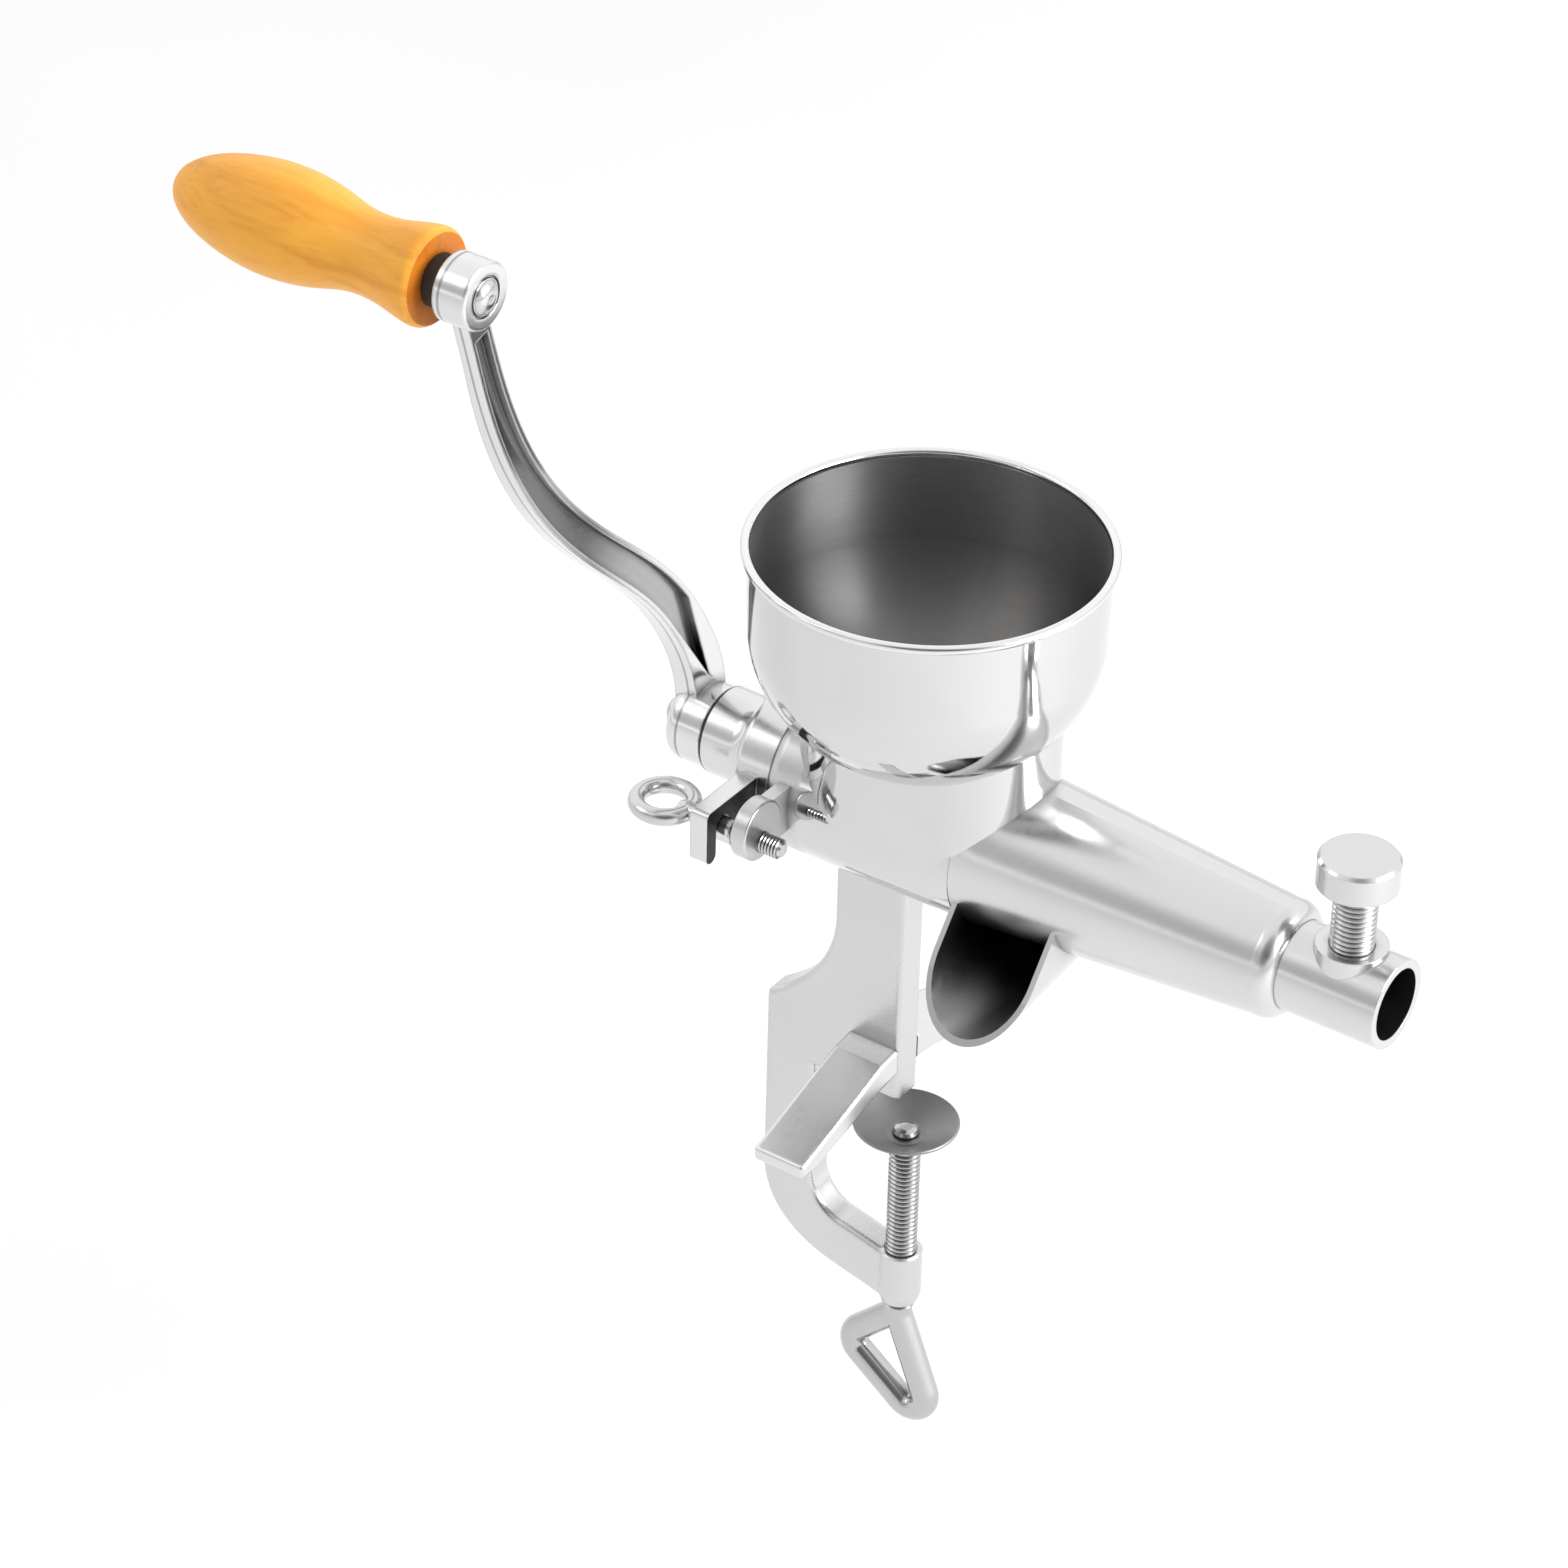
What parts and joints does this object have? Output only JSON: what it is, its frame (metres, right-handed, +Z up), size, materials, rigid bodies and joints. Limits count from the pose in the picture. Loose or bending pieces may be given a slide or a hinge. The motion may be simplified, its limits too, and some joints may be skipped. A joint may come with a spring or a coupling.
{
  "type": "hand crank juice press",
  "caption": "Hand-cranked steel juice press with feed bowl, auger nozzle, juice spout, adjustable pulp outlet, table clamp and wooden crank grip.",
  "frame": {"origin": "centre of the flat underside of the clamp post, the jaw face that rests on a table top", "axes": "+X along the barrel from the crank to the pulp outlet, +Z up, -Y towards the juice spout"},
  "size_m": [0.3092, 0.1713, 0.409],
  "materials": {
    "polished_steel": "mirror polished stainless steel",
    "satin_steel": "satin stainless steel",
    "thread_steel": "turned stainless steel",
    "pad_steel": "grey blasted steel",
    "bearing_plastic": "bearing plastic",
    "seal_rubber": "soft seal",
    "dark_washer": "dark fibre washer",
    "varnished_wood": "amber varnished wood"
  },
  "bodies": {
    "frame": {"press_barrel": "polished_steel", "feed_bowl": "polished_steel", "press_nozzle": "polished_steel", "outlet_tube": "polished_steel", "juice_spout": "polished_steel", "clamp_frame": "satin_steel", "jaw_foot_front": "satin_steel", "jaw_foot_rear": "satin_steel", "strainer_sleeve": "satin_steel", "rear_cap": "polished_steel", "rear_bush": "bearing_plastic", "cap_seal": "seal_rubber"},
    "crank": {"auger": "satin_steel", "thrust_washer": "bearing_plastic", "crank_arm": "polished_steel", "crank_washer": "thread_steel", "crank_screw": "thread_steel", "handle_spindle": "polished_steel", "grip_washer": "dark_washer"},
    "grip": {"wood_grip": "varnished_wood"},
    "pad": {"clamp_pad": "pad_steel"},
    "screw": {"clamp_screw": "thread_steel"},
    "nose": {"choke_nose": "thread_steel"},
    "stem": {"adjusting_screw": "thread_steel"},
    "eye": {"eye_bolt": "thread_steel"}
  },
  "joints": [
    {"name": "crank_spin", "type": "hinge", "parent": "frame", "child": "crank", "pos_m": [-0.0531, 0, 0.0955], "axis": [1, 0, 0], "continuous": true},
    {"name": "grip_spin", "type": "hinge", "parent": "crank", "child": "grip", "pos_m": [-0.0885, -0.106, 0.2795], "axis": [1, 0, 0], "continuous": true},
    {"name": "pad_lift", "type": "slide", "parent": "frame", "child": "pad", "axis": [0, 0, 1], "range_m": [-0.034, 0]},
    {"name": "screw_turn", "type": "hinge", "parent": "pad", "child": "screw", "pos_m": [0.0115, 0, -0.05], "axis": [0, 0, 1], "range_deg": [-8200, 20]},
    {"name": "nose_lift", "type": "slide", "parent": "frame", "child": "nose", "axis": [0, 0, 1], "range_m": [-0.011, 0.004]},
    {"name": "stem_turn", "type": "hinge", "parent": "nose", "child": "stem", "pos_m": [0.145, 0, 0.11], "axis": [0, 0, 1], "range_deg": [-2660, 980]},
    {"name": "eye_turn", "type": "hinge", "parent": "frame", "child": "eye", "pos_m": [-0.0285, -0.035, 0.093], "axis": [1, 0, 0], "continuous": true}
  ],
  "couplings": [
    {"joint": "screw_turn", "follows": "pad_lift", "rad_per_m": 4188.8},
    {"joint": "stem_turn", "follows": "nose_lift", "rad_per_m": 4188.8}
  ]
}
